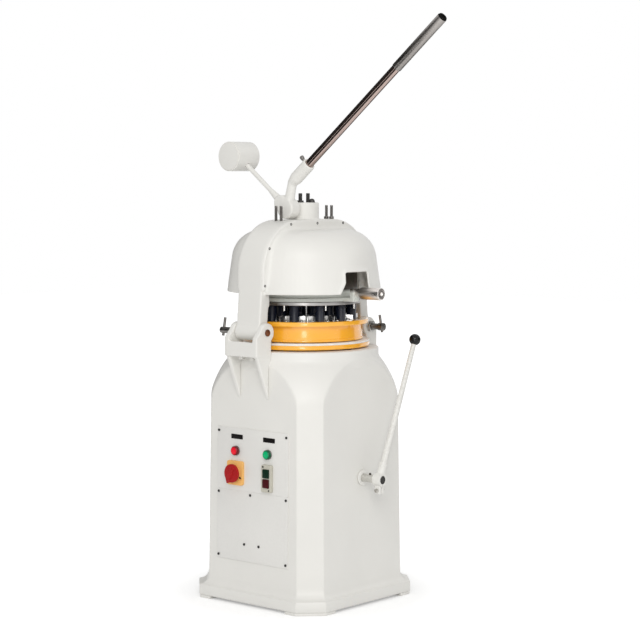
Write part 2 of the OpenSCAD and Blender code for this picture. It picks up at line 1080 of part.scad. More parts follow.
module lever_elbow() {
    rise = norm([bend_y, bend_z - cross_z]);
    color(paint)
        difference() {
            union() {
                translate([-lever_x + 4, 0, cross_z])
                    x_bar(hub_r, 46);
                translate([-lever_x + 1, 24, cross_z + 19])
                    x_bar(hub_r - 8, 38);
                translate([-lever_x, 0, cross_z])
                    rotate([atan2(-bend_y, bend_z - cross_z), 0, 0])
                        cylinder(r1 = 19, r2 = 16, h = rise);
                on_tube() {
                    sphere(17);
                    translate([0, 0, -2])
                        cylinder(r1 = 17, r2 = socket_r, h = 24);
                    translate([0, 0, 22])
                        cylinder(r = socket_r, h = socket_len - 22);
                }
                on_arm()
                    cylinder(r1 = 19, r2 = 9.5, h = hub_r + 66);
                on_arm()
                    cylinder(r = 9, h = norm([weight_y, weight_z - cross_z]) - weight_r + 6);
            }
            translate([-lever_x + 40, 0, cross_z])
                x_bar(cross_r, 100);
            on_tube()
                translate([0, 0, 30])
                    cylinder(r = tube_r, h = big);
        }
}

module lever_tube() {
    color(steel)
        on_tube()
            translate([0, 0, 30])
                difference() {
                    cylinder(r = tube_r, h = socket_len - 30 + tube_len + grip_len - 10);
                    translate([0, 0, -1])
                        cylinder(r = tube_r - 3, h = big);
                }
}

module lever_grip() {
    color(steel)
        on_tube()
            translate([0, 0, socket_len + tube_len])
                difference() {
                    cylinder(r = tube_r + 2, h = grip_len);
                    translate([0, 0, -1])
                        cylinder(r = tube_r, h = grip_len + 2);
                }
}

module grip_plug() {
    color(dark)
        on_tube()
            translate([0, 0, socket_len + tube_len + grip_len - 10])
                difference() {
                    union() {
                        cylinder(r = tube_r, h = 10);
                        translate([0, 0, 10])
                            cylinder(r1 = tube_r + 2, r2 = tube_r - 1, h = 6);
                    }
                    translate([0, 0, 11])
                        cylinder(r = tube_r - 5, h = 6);
                }
}

module elbow_bolt() {
    color(dark)
        on_tube()
            translate([0, socket_r - 2, socket_len - 14])
                rotate([-90, 0, 0]) {
                    cylinder(r = 5, h = 12);
                    translate([0, 0, 10])
                        cylinder(r = 7.5, h = 12, $fn = 6);
                }
}

module counterweight() {
    color(paint)
        difference() {
            translate([-lever_x, weight_y, weight_z]) {
                x_bar(weight_r, weight_len - 8);
                x_bar(weight_r - 4, weight_len);
            }
            on_arm()
                cylinder(r = 9, h = norm([weight_y, weight_z - cross_z]) - weight_r + 6);
        }
}

module plunger() {
    color(steel)
        translate([0, 0, drum_z + drum_h])
            cylinder(r = plunger_r, h = arch_z - crown_t - drum_z - drum_h + 7);
}

module press_drum() {
    color([0.66, 0.66, 0.67])
        translate([0, 0, drum_z])
            difference() {
                cylinder(r = drum_r, h = drum_h);
                translate([0, 0, -1])
                    cylinder(r = drum_r - drum_wall, h = drum_h - drum_wall + 1);
            }
}

module press_disc() {
    color([0.8, 0.8, 0.8])
        difference() {
            translate([0, 0, disc_z])
                cylinder(r = disc_r, h = disc_t);
            for (a = [0 : 3])
                rotate([0, 0, 45 + 90 * a])
                    translate([rod_at, 0, disc_z - 1])
                        cylinder(r = rod_r + run_gap, h = disc_t + 2);
        }
}

// The knives' pattern: two round blades, six blades inside and twelve outside; w widens every blade.
module knife_plan(w) {
    t = blade_t / 2 + w;
    for (r = [knife_r1, knife_r2])
        difference() {
            circle(r + t);
            circle(r - t);
        }
    for (a = [0 : 11])
        rotate(15 + 30 * a)
            translate([knife_r1, -t])
                square([seg_r + 2 * w - knife_r1 - 1, 2 * t]);
    for (a = [0 : 5])
        rotate(15 + 60 * a)
            translate([0, -t])
                square([knife_r1, 2 * t]);
}

module press_segments() {
    inner = knife_r1 * 0.6;
    middle = (knife_r1 + knife_r2) / 2;
    outer = (knife_r2 + seg_r) / 2;
    color([0.06, 0.07, 0.11]) {
        translate([0, 0, seg_z])
            linear_extrude(seg_t)
                difference() {
                    circle(seg_r);
                    knife_plan(knife_gap);
                }
        for (a = [0 : 11])
            rotate([0, 0, 30 * a]) {
                translate([outer, 0, seg_z + seg_t - 1])
                    cylinder(r = pillar_r, h = disc_z - seg_z - seg_t + 1);
                translate([middle, 0, seg_z + seg_t - 1])
                    cylinder(r = pillar_r, h = disc_z - seg_z - seg_t + 1);
            }
        for (a = [0 : 5])
            rotate([0, 0, 45 + 60 * a])
                translate([inner, 0, seg_z + seg_t - 1])
                    cylinder(r = pillar_r, h = disc_z - seg_z - seg_t + 1);
    }
}

module knife_grid() {
    color(steel) {
        translate([0, 0, seg_z])
            linear_extrude(knife_h)
                knife_plan(0);
        for (a = [0 : 3])
            rotate([0, 0, 45 + 90 * a]) {
                translate([rod_at, 0, seg_z + knife_h - 1])
                    cylinder(r = rod_r, h = drum_z + 32 - seg_z - knife_h);
                translate([rod_at, 0, drum_z + 24])
                    cylinder(r = 9, h = 6, $fn = 6);
            }
    }
}

module divider_ring() {
    color(orange)
        difference() {
            union() {
                translate([0, 0, ring_z])
                    cylinder(r = ring_r, h = ring_h);
                translate([0, 0, ring_z])
                    cylinder(r = ring_r + 2.5, h = 8);
                translate([0, 0, ring_top - ring_lip_h])
                    cylinder(r = ring_lip_r, h = ring_lip_h);
                for (s = [-1, 1])
                    translate([s * guide_x(), 0, ring_top - ring_lip_h])
                        cylinder(r = 12, h = ring_lip_h);
            }
            translate([0, 0, ring_z - 1])
                cylinder(r = ring_bore_r, h = ring_h + 2);
            for (s = [-1, 1])
                translate([s * guide_x(), 0, ring_z])
                    cylinder(r = 6 + run_gap, h = ring_h + 2);
        }
}

module lock_ring() {
    color([0.78, 0.78, 0.78])
        difference() {
            union() {
                translate([0, 0, drum_z + slide_gap])
                    cylinder(r = drum_r + 7, h = 14);
                translate([-16, -handle_in - 4, drum_z + slide_gap])
                    cube([32, handle_in - drum_r + 10, 14]);
                translate([-16, -handle_in - 4, drum_z + slide_gap])
                    cube([32, 16, handle_z - drum_z + 14]);
            }
            translate([0, 0, drum_z - 1])
                cylinder(r = drum_r + slide_gap, h = 60);
        }
}

module lock_handle() {
    color(steel)
        translate([0, -handle_in - 4, handle_z])
            rotate([90, 0, 0]) {
                cylinder(r1 = 11, r2 = 13, h = 12);
                translate([0, 0, 12])
                    cylinder(r1 = 13, r2 = handle_r, h = 14);
                difference() {
                    translate([0, 0, 26])
                        cylinder(r = handle_r, h = handle_len - 26);
                    translate([0, 0, handle_len - 5])
                        cylinder(r1 = 2, r2 = 7, h = 5 + eps);
                }
            }
}

body_casting();
foot_pads();
hinge_bracket();
bracket_bolts();
lock_bracket();
control_panel();
lower_panel();
rear_panel();
panel_screws();
legend_plates();
lamp_bezels();
red_lens();
green_lens();
switch_plate();
switch_knob();
button_frame();
start_button();
stop_button();
lever_bush();
bearing_housing();
glide_pads();
motor();
motor_plate();
motor_pulley();
drive_belt();
crank_shaft();
crank_pulley();
moulding_table();
moulding_plate();
lever_shaft();
lever_clamp();
lever_rod();
lever_ball();
clamp_screws();
hinge_pin();
lock_screw();
lock_nut();
arch_frame();
front_cover();
rear_cover();
cover_screws();
arch_studs();
boss_studs();
ring_guides();
press_shaft();
lever_elbow();
lever_tube();
lever_grip();
grip_plug();
elbow_bolt();
counterweight();
plunger();
press_drum();
press_disc();
press_segments();
knife_grid();
divider_ring();
lock_ring();
lock_handle();
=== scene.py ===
from math import cos, pi, radians, sin, sqrt

import bmesh
import bpy
from mathutils import Matrix, Vector


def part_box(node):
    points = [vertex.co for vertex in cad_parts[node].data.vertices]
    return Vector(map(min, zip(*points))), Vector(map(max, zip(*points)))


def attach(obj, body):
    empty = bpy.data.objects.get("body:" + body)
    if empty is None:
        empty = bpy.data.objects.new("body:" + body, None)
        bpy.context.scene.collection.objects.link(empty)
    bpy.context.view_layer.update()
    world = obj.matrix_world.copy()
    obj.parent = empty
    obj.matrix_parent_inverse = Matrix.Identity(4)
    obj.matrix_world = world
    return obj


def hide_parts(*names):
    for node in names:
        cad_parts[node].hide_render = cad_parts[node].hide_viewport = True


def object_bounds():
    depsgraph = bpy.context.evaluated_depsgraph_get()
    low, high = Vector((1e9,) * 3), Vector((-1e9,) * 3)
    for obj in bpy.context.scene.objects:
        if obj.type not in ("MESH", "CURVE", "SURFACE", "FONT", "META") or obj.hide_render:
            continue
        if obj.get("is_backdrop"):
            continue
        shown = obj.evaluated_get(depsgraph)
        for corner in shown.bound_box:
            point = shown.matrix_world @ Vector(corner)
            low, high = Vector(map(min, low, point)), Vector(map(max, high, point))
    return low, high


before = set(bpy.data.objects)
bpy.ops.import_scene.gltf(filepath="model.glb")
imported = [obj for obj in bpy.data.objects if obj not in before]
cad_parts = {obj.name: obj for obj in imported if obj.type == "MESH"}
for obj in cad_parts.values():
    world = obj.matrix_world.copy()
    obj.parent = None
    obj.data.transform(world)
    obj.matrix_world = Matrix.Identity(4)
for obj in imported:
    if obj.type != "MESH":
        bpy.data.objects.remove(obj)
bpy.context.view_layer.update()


# Cast body. One hollow iron casting: a base plate with cut corners, a hollow flare, drafted sides, a
# ball-turned shoulder and a round collar for the table. It is filled, rubbed down and sprayed off-white.
def node_group(name, inputs, outputs):
    """A shader group with named sockets, and its input and output nodes."""
    group = bpy.data.node_groups.new(name, "ShaderNodeTree")
    for label, kind, value in inputs:
        socket = group.interface.new_socket(label, in_out="INPUT", socket_type="NodeSocket" + kind)
        if kind != "Vector":
            socket.default_value = value
    for label, kind in outputs:
        group.interface.new_socket(label, in_out="OUTPUT", socket_type="NodeSocket" + kind)
    return group, group.nodes.new("NodeGroupInput"), group.nodes.new("NodeGroupOutput")


def add(tree, kind, values=None, **settings):
    """A node with its settings; a value that is another node's socket is linked."""
    node = tree.nodes.new("ShaderNode" + kind)
    for key, value in settings.items():
        setattr(node, key, value)
    for key, value in (values or {}).items():
        if isinstance(value, bpy.types.NodeSocket):
            tree.links.new(value, node.inputs[key])
        else:
            node.inputs[key].default_value = value
    return node


def noise(tree, where, scale, detail):
    """A cloudy texture with so many cells in a metre."""
    return add(tree, "TexNoise", {"Vector": where, "Scale": scale, "Detail": detail}).outputs[0]


def tone(tree, value, low, high, to_low, to_high):
    """Maps a texture value onto a range of shades."""
    return add(tree, "MapRange", {
        "Value": value, "From Min": low, "From Max": high, "To Min": to_low, "To Max": to_high,
    }).outputs[0]


def worked(tree, operation, *values):
    """One step of arithmetic on texture values."""
    return add(tree, "Math", dict(enumerate(values)), operation=operation).outputs[0]


def tinted(tree, colour, shade):
    """A colour made lighter or darker by a shade that changes over the surface."""
    return add(tree, "VectorMath", {0: colour, 1: shade}, operation="MULTIPLY").outputs[0]


def mixed(tree, share, first, second):
    """One colour passing into another by a share from 0 to 1."""
    return add(tree, "Mix", {0: share, 6: first, 7: second}, data_type="RGBA").outputs[2]


def led_out(group, film, color, roughness, height):
    """Joins a group's results to its outputs."""
    for label, socket in (("Color", color), ("Roughness", roughness), ("Height", height)):
        group.links.new(socket, film.inputs[label])


FILM_OUT = [("Color", "Color"), ("Roughness", "Float"), ("Height", "Float")]
paint_film, given, film = node_group("sprayed paint film", [
    ("Color", "Color", (0.8, 0.8, 0.8, 1)),
    ("Worn", "Color", (0.5, 0.48, 0.45, 1)),
    ("Wear", "Float", 0.3),
    ("Roughness", "Float", 0.35),
], FILM_OUT)
where = add(paint_film, "TexCoord").outputs["Object"]
clouds = tone(paint_film, noise(paint_film, where, scale=5.0, detail=4.0), 0.3, 0.7, 0.975, 1.015)
peel = noise(paint_film, where, scale=420.0, detail=2.0)
waves = noise(paint_film, where, scale=38.0, detail=2.0)
chips = tone(paint_film, noise(paint_film, where, scale=120.0, detail=6.0), 0.45, 0.6, 0.0, 1.0)
edges = tone(paint_film, add(paint_film, "NewGeometry").outputs["Pointiness"], 0.53, 0.6, 0.0, 1.0)
chipped = worked(paint_film, "MULTIPLY", edges, chips)
worn = worked(paint_film, "MULTIPLY", chipped, given.outputs["Wear"])
clean = tinted(paint_film, given.outputs["Color"], clouds)
haze = tone(paint_film, waves, 0.3, 0.7, -0.04, 0.06)
led_out(
    paint_film, film,
    color=mixed(paint_film, worn, clean, given.outputs["Worn"]),
    roughness=worked(paint_film, "ADD", given.outputs["Roughness"], haze),
    height=worked(paint_film, "ADD", peel, tone(paint_film, waves, 0.3, 0.7, 0.0, 1.5)),
)


def finished(name, effect, values, bump, **shader):
    """A material whose effect group feeds the shader; the other sockets hold plain numbers."""
    material = bpy.data.materials.new(name)
    material.use_nodes = True
    tree = material.node_tree
    skin = tree.nodes["Principled BSDF"]
    for label, value in shader.items():
        skin.inputs[label.replace("_", " ")].default_value = value
    layer = add(tree, "Group", node_tree=effect)
    for label, value in values.items():
        layer.inputs[label].default_value = value
    lift = add(tree, "Bump", {"Height": layer.outputs["Height"], "Strength": 0.6, "Distance": bump})
    tree.links.new(layer.outputs["Color"], skin.inputs["Base Color"])
    tree.links.new(layer.outputs["Roughness"], skin.inputs["Roughness"])
    tree.links.new(lift.outputs[0], skin.inputs["Normal"])
    return material


off_white = finished(
    "off-white sprayed paint", paint_film,
    {"Color": (0.79, 0.78, 0.745, 1), "Worn": (0.52, 0.5, 0.46, 1), "Wear": 0.35, "Roughness": 0.42},
    bump=0.00012, Coat_Weight=0.04, Coat_Roughness=0.25, Specular_IOR_Level=0.4,
)


def settle(form, name, body, finish, nodes, crease=38, turn=True):
    """Makes a form a finished piece that rides on its body and stands for its nodes."""
    if turn:
        bmesh.ops.recalc_face_normals(form, faces=form.faces)
    mesh = bpy.data.meshes.new(name)
    form.to_mesh(mesh)
    form.free()
    mesh.shade_smooth()
    mesh.set_sharp_from_angle(angle=radians(crease))
    mesh.materials.append(finish)
    piece = bpy.data.objects.new(name, mesh)
    bpy.context.scene.collection.objects.link(piece)
    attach(piece, body)
    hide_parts(*nodes)
    return piece


base_half, foot_z, foot_in, base_top, edge_in = 0.300, 0.010, 0.003, 0.048, 0.0028
flare_top, low_half, draft, corner_cut, corner_r = 0.086, 0.2715, 0.007, 0.241, 0.009
ball_z, ball_r, shoulder_from, shoulder_step, shoulder_steps = 0.633, 0.3405, 0.622, 0.003, 79
collar_r, collar_from, deck, deck_t, crank_hole = 0.262, 0.820, 0.880, 0.030, 0.0605
wall, base_wall, shoulder_round, collar_round = 0.010, 0.0385, 0.004, 0.008
edge_break = [(0.0008, 0.0009), (0.003, 0.0)]
inner_levels = (deck - deck_t, 0.830, 0.810, 0.780, 0.740, 0.690, 0.640, 0.500, 0.300, 0.090)


def outline_ring(form, side_cuts, corner_cuts):
    """A square of half width 1 with cut, rounded corners, as one closed ring of edges."""
    eighth = Matrix.Rotation(pi / 8, 4, "Z")
    bmesh.ops.create_circle(form, cap_ends=True, segments=8, radius=1, matrix=eighth)
    near = 1 - corner_cut
    for vert in form.verts:
        wide = abs(vert.co.x) > abs(vert.co.y)
        vert.co.x = (1 if wide else near) * (1 if vert.co.x > 0 else -1)
        vert.co.y = (near if wide else 1) * (1 if vert.co.y > 0 else -1)
    bmesh.ops.bevel(
        form, geom=form.verts[:], offset=corner_r, affect="VERTICES", segments=5, profile=0.5, material=-1,
    )
    bmesh.ops.delete(form, geom=form.faces[:], context="FACES_ONLY")
    lengths = {edge: edge.calc_length() for edge in form.edges}
    sides = [edge for edge, length in lengths.items() if length > 1]
    cuts = [edge for edge, length in lengths.items() if 0.1 < length <= 1]
    bmesh.ops.subdivide_edges(form, edges=sides, cuts=side_cuts)
    bmesh.ops.subdivide_edges(form, edges=[edge for edge in cuts if edge.is_valid], cuts=corner_cuts)


casting = bmesh.new()
outline_ring(casting, side_cuts=71, corner_cuts=17)
shape = casting.verts.layers.float_vector.new("outline")
for vert in casting.verts:
    vert[shape] = vert.co


def soft_min(a, b, width):
    """The lesser of two reaches, rounded over where they meet."""
    share = max(width - abs(a - b), 0.0) / width
    return min(a, b) - share * share * width / 4


def half_at(z):
    """Half width of the drafted sides at a height."""
    return low_half - draft * (z - flare_top) / (ball_z - flare_top)


def ball_at(z, radius):
    """Reach of the shoulder's ball at a height."""
    return sqrt(max(radius * radius - max(z - ball_z, 0) ** 2, 1e-6))


def square_reach(half):
    """Reach of the plain outline at a half width."""
    return lambda unit: unit * half


def shoulder_reach(z, inset=0.0):
    """Drafted side cut by the shoulder's ball and, outside near the top, let into the collar."""
    def reach(unit):
        side = unit * (half_at(z) - inset)
        cut = soft_min(side, ball_at(z, ball_r - inset), shoulder_round)
        if inset or z < collar_from:
            return cut
        return -soft_min(-cut, -collar_r, collar_round)
    return reach


def lay_ring(verts, z, reach):
    """Puts a ring of the casting at a height; reach gives each point's distance from the axis."""
    for vert in verts:
        flat = vert[shape]
        vert.co = flat * (reach(flat.length) / flat.length)
        vert.co.z = z


def next_ring(ring, z, reach):
    """Extrudes the casting's open ring to the next level and returns the new ring."""
    made = bmesh.ops.extrude_edge_only(casting, edges=ring)["geom"]
    verts = {g for g in made if isinstance(g, bmesh.types.BMVert)}
    lay_ring(verts, z, reach)
    return [g for g in made if isinstance(g, bmesh.types.BMEdge) and set(g.verts) <= verts]


plate_levels = [(foot_z + up, base_half - back) for up, back in edge_break] + [(0.030, base_half)]
plate_levels += [(base_top - down, base_half - back) for down, back in reversed(edge_break)]
plate_levels += [(base_top, base_half - edge_in)]
flare_h, flare_in = flare_top - base_top, base_half - edge_in - low_half
flare_levels = [
    (base_top + flare_h * (1 - cos(angle)), base_half - edge_in - flare_in * sin(angle))
    for angle in (step * pi / 20 for step in range(1, 11))
]
side_levels = [(z / 1000, half_at(z / 1000)) for z in range(110, 620, 60)]
foot_ring = casting.edges[:]
lay_ring(casting.verts, foot_z, square_reach(base_half - foot_in))
ring = foot_ring
for z, half in plate_levels + flare_levels + side_levels:
    ring = next_ring(ring, z, square_reach(half))
for step in range(shoulder_steps):
    z = shoulder_from + shoulder_step * step
    ring = next_ring(ring, z, shoulder_reach(z))
for z, radius in (
    (deck - 0.0034, collar_r), (deck - 0.0012, collar_r - 0.0006), (deck, collar_r - 0.0026),
    (deck, crank_hole), (deck - deck_t, crank_hole),
):
    ring = next_ring(ring, z, lambda unit, radius=radius: radius)
for z in inner_levels:
    ring = next_ring(ring, z, shoulder_reach(z, wall))
ring = next_ring(ring, foot_z, square_reach(base_half - base_wall))
bmesh.ops.bridge_loops(casting, edges=foot_ring + ring)
settle(casting, "cast_body", "base", off_white, ["body_casting"], crease=50)


# Foot pads. Four low pads under the corners, each with a hole for an anchor bolt, painted with the body.
# Only their front edges show as small steps above the floor.
weld, flat, sharp_from = 2e-6, radians(0.6), radians(28)


def copied(node):
    """A merged copy of a node's own mesh with its flat faces joined."""
    form = bmesh.new()
    form.from_mesh(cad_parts[node].data)
    bmesh.ops.remove_doubles(form, verts=form.verts, dist=weld)
    bmesh.ops.dissolve_limit(form, angle_limit=flat, verts=form.verts, edges=form.edges)
    return form


def round_over(form, edge, segments=2):
    """Breaks every sharp edge of a form."""
    sharp = [e for e in form.edges if len(e.link_faces) == 2 and e.calc_face_angle(0) > sharp_from]
    bmesh.ops.bevel(
        form, geom=sharp, offset=edge, offset_type="OFFSET", affect="EDGES", segments=segments, profile=0.5,
        material=-1, clamp_overlap=True,
    )
    bmesh.ops.remove_doubles(form, verts=form.verts, dist=weld)


def dressed(node, name, body, finish, edge, segments=2):
    """A copy of a node with broken edges, which stands for it."""
    form = copied(node)
    round_over(form, edge, segments)
    return settle(form, name, body, finish, [node], turn=False)


dressed("foot_pads", "foot_pad_set", "base", off_white, edge=0.0015)


# Sheet panels. Flat steel covers over the openings in the left side and the back, sprayed like the body
# and held by dark button-head screws, whose sockets show as black dots. The two on the left butt together.
panel_white = finished(
    "panel paint", paint_film,
    {"Color": (0.775, 0.765, 0.735, 1), "Worn": (0.45, 0.44, 0.42, 1), "Wear": 0.5, "Roughness": 0.38},
    bump=0.00008, Coat_Weight=0.1, Coat_Roughness=0.25,
)
seam_gap = 0.0001
for panel in ("control_panel", "lower_panel", "rear_panel"):
    sheet = copied(panel)
    if panel == "control_panel":
        foot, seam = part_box(panel)[0][2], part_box("lower_panel")[1][2]
        for vert in sheet.verts:
            if vert.co.z < foot + 2 * seam_gap:
                vert.co.z = seam + seam_gap
    round_over(sheet, edge=0.0003)
    settle(sheet, panel + "_sheet", "base", panel_white, [panel], turn=False)

metal_film, given, film = node_group("worked metal", [
    ("Vector", "Vector", None),
    ("Color", "Color", (0.6, 0.6, 0.6, 1)),
    ("Roughness", "Float", 0.3),
    ("Streak", "Float", 0.1),
], FILM_OUT)
where = add(metal_film, "TexCoord").outputs["Object"]
lines = noise(metal_film, given.outputs["Vector"], scale=60.0, detail=3.0)
smears = tone(metal_film, noise(metal_film, where, scale=24.0, detail=3.0), 0.3, 0.7, -0.05, 0.09)
pits = add(metal_film, "TexVoronoi", {"Vector": where, "Scale": 310.0}).outputs[0]
pitted = tone(metal_film, pits, 0.02, 0.12, 0.55, 1.0)
streaks = tone(metal_film, lines, 0.3, 0.7, -1.0, 1.0)
drawn = worked(metal_film, "MULTIPLY", streaks, given.outputs["Streak"])
shade = worked(metal_film, "ADD", drawn, 1.0)
shade = worked(metal_film, "MULTIPLY", shade, tone(metal_film, pitted, 0.0, 1.0, 0.8, 1.0))
rough = worked(metal_film, "ADD", given.outputs["Roughness"], smears)
led_out(
    metal_film, film,
    color=tinted(metal_film, given.outputs["Color"], shade),
    roughness=worked(metal_film, "MULTIPLY_ADD", drawn, 0.5, rough),
    height=worked(metal_film, "ADD", lines, pitted),
)


def effect_in(material):
    """The node of a finished material that holds its effect group."""
    return next(node for node in material.node_tree.nodes if node.type == "GROUP")


def metal(name, colour, roughness, streak, grain=(1, 1, 1), turn=(0, 0, 0), bump=0.00004):
    """Bare metal whose tool marks are drawn out by grain, turned to lie along or round the piece."""
    values = {"Color": (*colour, 1), "Roughness": roughness, "Streak": streak}
    material = finished(name, metal_film, values, bump, Metallic=1.0)
    tree = material.node_tree
    along = add(tree, "Mapping", {"Rotation": turn, "Scale": grain}, vector_type="TEXTURE")
    tree.links.new(add(tree, "TexCoord").outputs["Object"], along.inputs["Vector"])
    tree.links.new(along.outputs[0], effect_in(material).inputs["Vector"])
    return material


screw_edge = 0.0007
dark_steel = metal("blackened steel", (0.07, 0.068, 0.066), roughness=0.42, streak=0.25)
dressed("panel_screws", "panel_screw_heads", "base", dark_steel, screw_edge, segments=3)


# Hinge bracket. A two-cheeked iron casting with ribs that run down the body, bolted to the collar from
# below. The head's hinge pin passes through its round eyes.
def moulded(nodes, grain, lip=None):
    """Nodes, and a lip, run together into one even skin, as a sand mould, filler and paint leave castings."""
    form = bmesh.new()
    for node in nodes:
        form.from_mesh(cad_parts[node].data)
    if lip:
        form.from_mesh(lip)
    raw = bpy.data.meshes.new("raw casting")
    form.to_mesh(raw)
    form.free()
    block = bpy.data.objects.new("raw casting", raw)
    bpy.context.scene.collection.objects.link(block)
    skin = block.modifiers.new("sand mould", "REMESH")
    skin.mode, skin.voxel_size = "VOXEL", grain
    form = bmesh.new()
    form.from_object(block, bpy.context.evaluated_depsgraph_get())
    bpy.data.objects.remove(block)
    bpy.data.meshes.remove(raw)
    return form


def eased(form, passes, near=None):
    """Runs edges and corners together, everywhere or only where near says so."""
    verts = [vert for vert in form.verts if near is None or near(vert.co)]
    for _ in range(passes):
        bmesh.ops.smooth_vert(
            form, verts=verts, factor=0.5, use_axis_x=True, use_axis_y=True, use_axis_z=True,
        )


def cast_form(node, name, body, finish, grain, passes):
    """A node's casting with its edges run together, which stands for the node."""
    form = moulded([node], grain)
    eased(form, passes)
    return settle(form, name, body, finish, [node], crease=180, turn=False)


bracket_grain, bracket_passes = 0.0022, 9
cast_form(
    "hinge_bracket", "hinge_bracket_casting", "base", off_white,
    grain=bracket_grain, passes=bracket_passes,
)
dressed("bracket_bolts", "bracket_bolt_heads", "base", off_white, edge=0.001)


# Lock bracket. The matching iron casting on the right, painted with the body, with a steel hexagon nut on
# its front cheek for the lock screw.
plain_steel = metal("machined steel", (0.56, 0.55, 0.53), roughness=0.3, streak=0.12)
cast_form(
    "lock_bracket", "lock_bracket_casting", "base", off_white,
    grain=bracket_grain, passes=bracket_passes,
)
dressed("lock_nut", "lock_nut_hexagon", "base", plain_steel, edge=0.0012)


# Pilot lamps and their plates. Two black anodised plates, left without words, stand over two lamps with
# dulled steel bezels and tinted plastic lenses.
plastic_film, given, film = node_group("moulded plastic", [
    ("Color", "Color", (0.5, 0.5, 0.5, 1)),
    ("Roughness", "Float", 0.35),
    ("Grain", "Float", 400.0),
], FILM_OUT)
where = add(plastic_film, "TexCoord").outputs["Object"]
flow = noise(plastic_film, where, scale=30.0, detail=2.0)
haze = tone(plastic_film, flow, 0.3, 0.7, -0.05, 0.08)
led_out(
    plastic_film, film,
    color=tinted(plastic_film, given.outputs["Color"], tone(plastic_film, flow, 0.3, 0.7, 0.93, 1.05)),
    roughness=worked(plastic_film, "ADD", given.outputs["Roughness"], haze),
    height=noise(plastic_film, where, scale=given.outputs["Grain"], detail=3.0),
)


def plastic(name, colour, roughness, grain=400.0, **shader):
    """Moulded plastic with a fine surface grain."""
    values = {"Color": (*colour, 1), "Roughness": roughness, "Grain": grain}
    return finished(name, plastic_film, values, bump=0.00005, **shader)


def recoloured(material, share, first, second):
    """Lets a material's colour pass from one to another by a share that changes over the piece."""
    tree = material.node_tree
    passing = mixed(tree, share, (*first, 1), (*second, 1))
    tree.links.new(passing, effect_in(material).inputs["Color"])


def lamp_lens(node, name, middle, rim):
    """A lamp's lens in clear tinted plastic, with painted shade darkening it towards its rim."""
    rim_shade_from, rim_shade_to = 0.0105, 0.0145
    tint = plastic(name + " plastic", middle, roughness=0.2, grain=250.0, Specular_IOR_Level=0.25)
    tree = tint.node_tree
    low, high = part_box(node)
    axis = (0, (low[1] + high[1]) / 2, (low[2] + high[2]) / 2)
    here = add(tree, "TexCoord").outputs["Object"]
    face = add(tree, "VectorMath", {0: here, 1: (0, 1, 1)}, operation="MULTIPLY").outputs[0]
    spread = add(tree, "VectorMath", {0: face, 1: axis}, operation="DISTANCE").outputs["Value"]
    recoloured(tint, tone(tree, spread, rim_shade_from, rim_shade_to, 0.0, 1.0), middle, rim)
    dressed(node, name, "base", tint, edge=0.0012, segments=3)


black_gloss = plastic("black anodising", (0.009, 0.008, 0.008), roughness=0.4, Specular_IOR_Level=0.06)
bezel_steel = metal("dulled bezel steel", (0.2, 0.185, 0.18), roughness=0.38, streak=0.1)
dressed("legend_plates", "blank_legend_plates", "base", black_gloss, edge=0.0005)
dressed("lamp_bezels", "lamp_bezel_rings", "base", bezel_steel, edge=0.001)
# Each lens's rim colour is painted shade round its edge.
lamp_lens("red_lens", "red_lamp_lens", middle=(0.88, 0.008, 0.028), rim=(0.16, 0.004, 0.008))
lamp_lens("green_lens", "green_lamp_lens", middle=(0.002, 0.46, 0.17), rim=(0.0, 0.1, 0.04))


# Main switch. A yellow moulded plate with a padlock hole carries a red rotary handle that turns a
# quarter turn; the handle is a round skirt with a bar grip across it.
def turned(profile, place, steps=48):
    """A turned form: points of radius and height spun about an axis, then put in place."""
    form = bmesh.new()
    verts = [form.verts.new((radius, 0, height)) for radius, height in profile]
    edges = [form.edges.new(pair) for pair in zip(verts, verts[1:])]
    bmesh.ops.spin(
        form, geom=verts + edges, axis=(0, 0, 1), cent=(0, 0, 0), angle=2 * pi, steps=steps, use_merge=True,
    )
    bmesh.ops.remove_doubles(form, verts=form.verts, dist=1e-6)
    bmesh.ops.recalc_face_normals(form, faces=form.faces)
    bmesh.ops.transform(form, matrix=place, verts=form.verts)
    return form


yellow = plastic("yellow plastic", (0.93, 0.52, 0.16), roughness=0.45, Specular_IOR_Level=0.3)
red = plastic("red plastic", (0.4, 0.008, 0.01), roughness=0.4, Specular_IOR_Level=0.2)
dressed("switch_plate", "switch_plate_moulding", "base", yellow, edge=0.0015, segments=3)
dressed("switch_knob", "switch_handle", "switch", red, edge=0.0025, segments=3)
low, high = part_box("switch_plate")
hole_in, hole_side, hole_down = 0.0048, 0.025, 0.015
facing_left = Matrix.Rotation(-pi / 2, 4, "Y")
hole = (low[0] + hole_in, (low[1] + high[1]) / 2 - hole_side, (low[2] + high[2]) / 2 - hole_down)
# A black disc in the padlock hole is painted shade for the hole's dark inside.
plug = [(0, 0.0004), (0.0024, 0.0004), (0.0036, 0), (0.0036, -0.003), (0, -0.003)]
plug = turned(plug, Matrix.Translation(hole) @ facing_left, steps=24)
settle(plug, "switch_plate_hole_shade", "base", black_gloss, [])


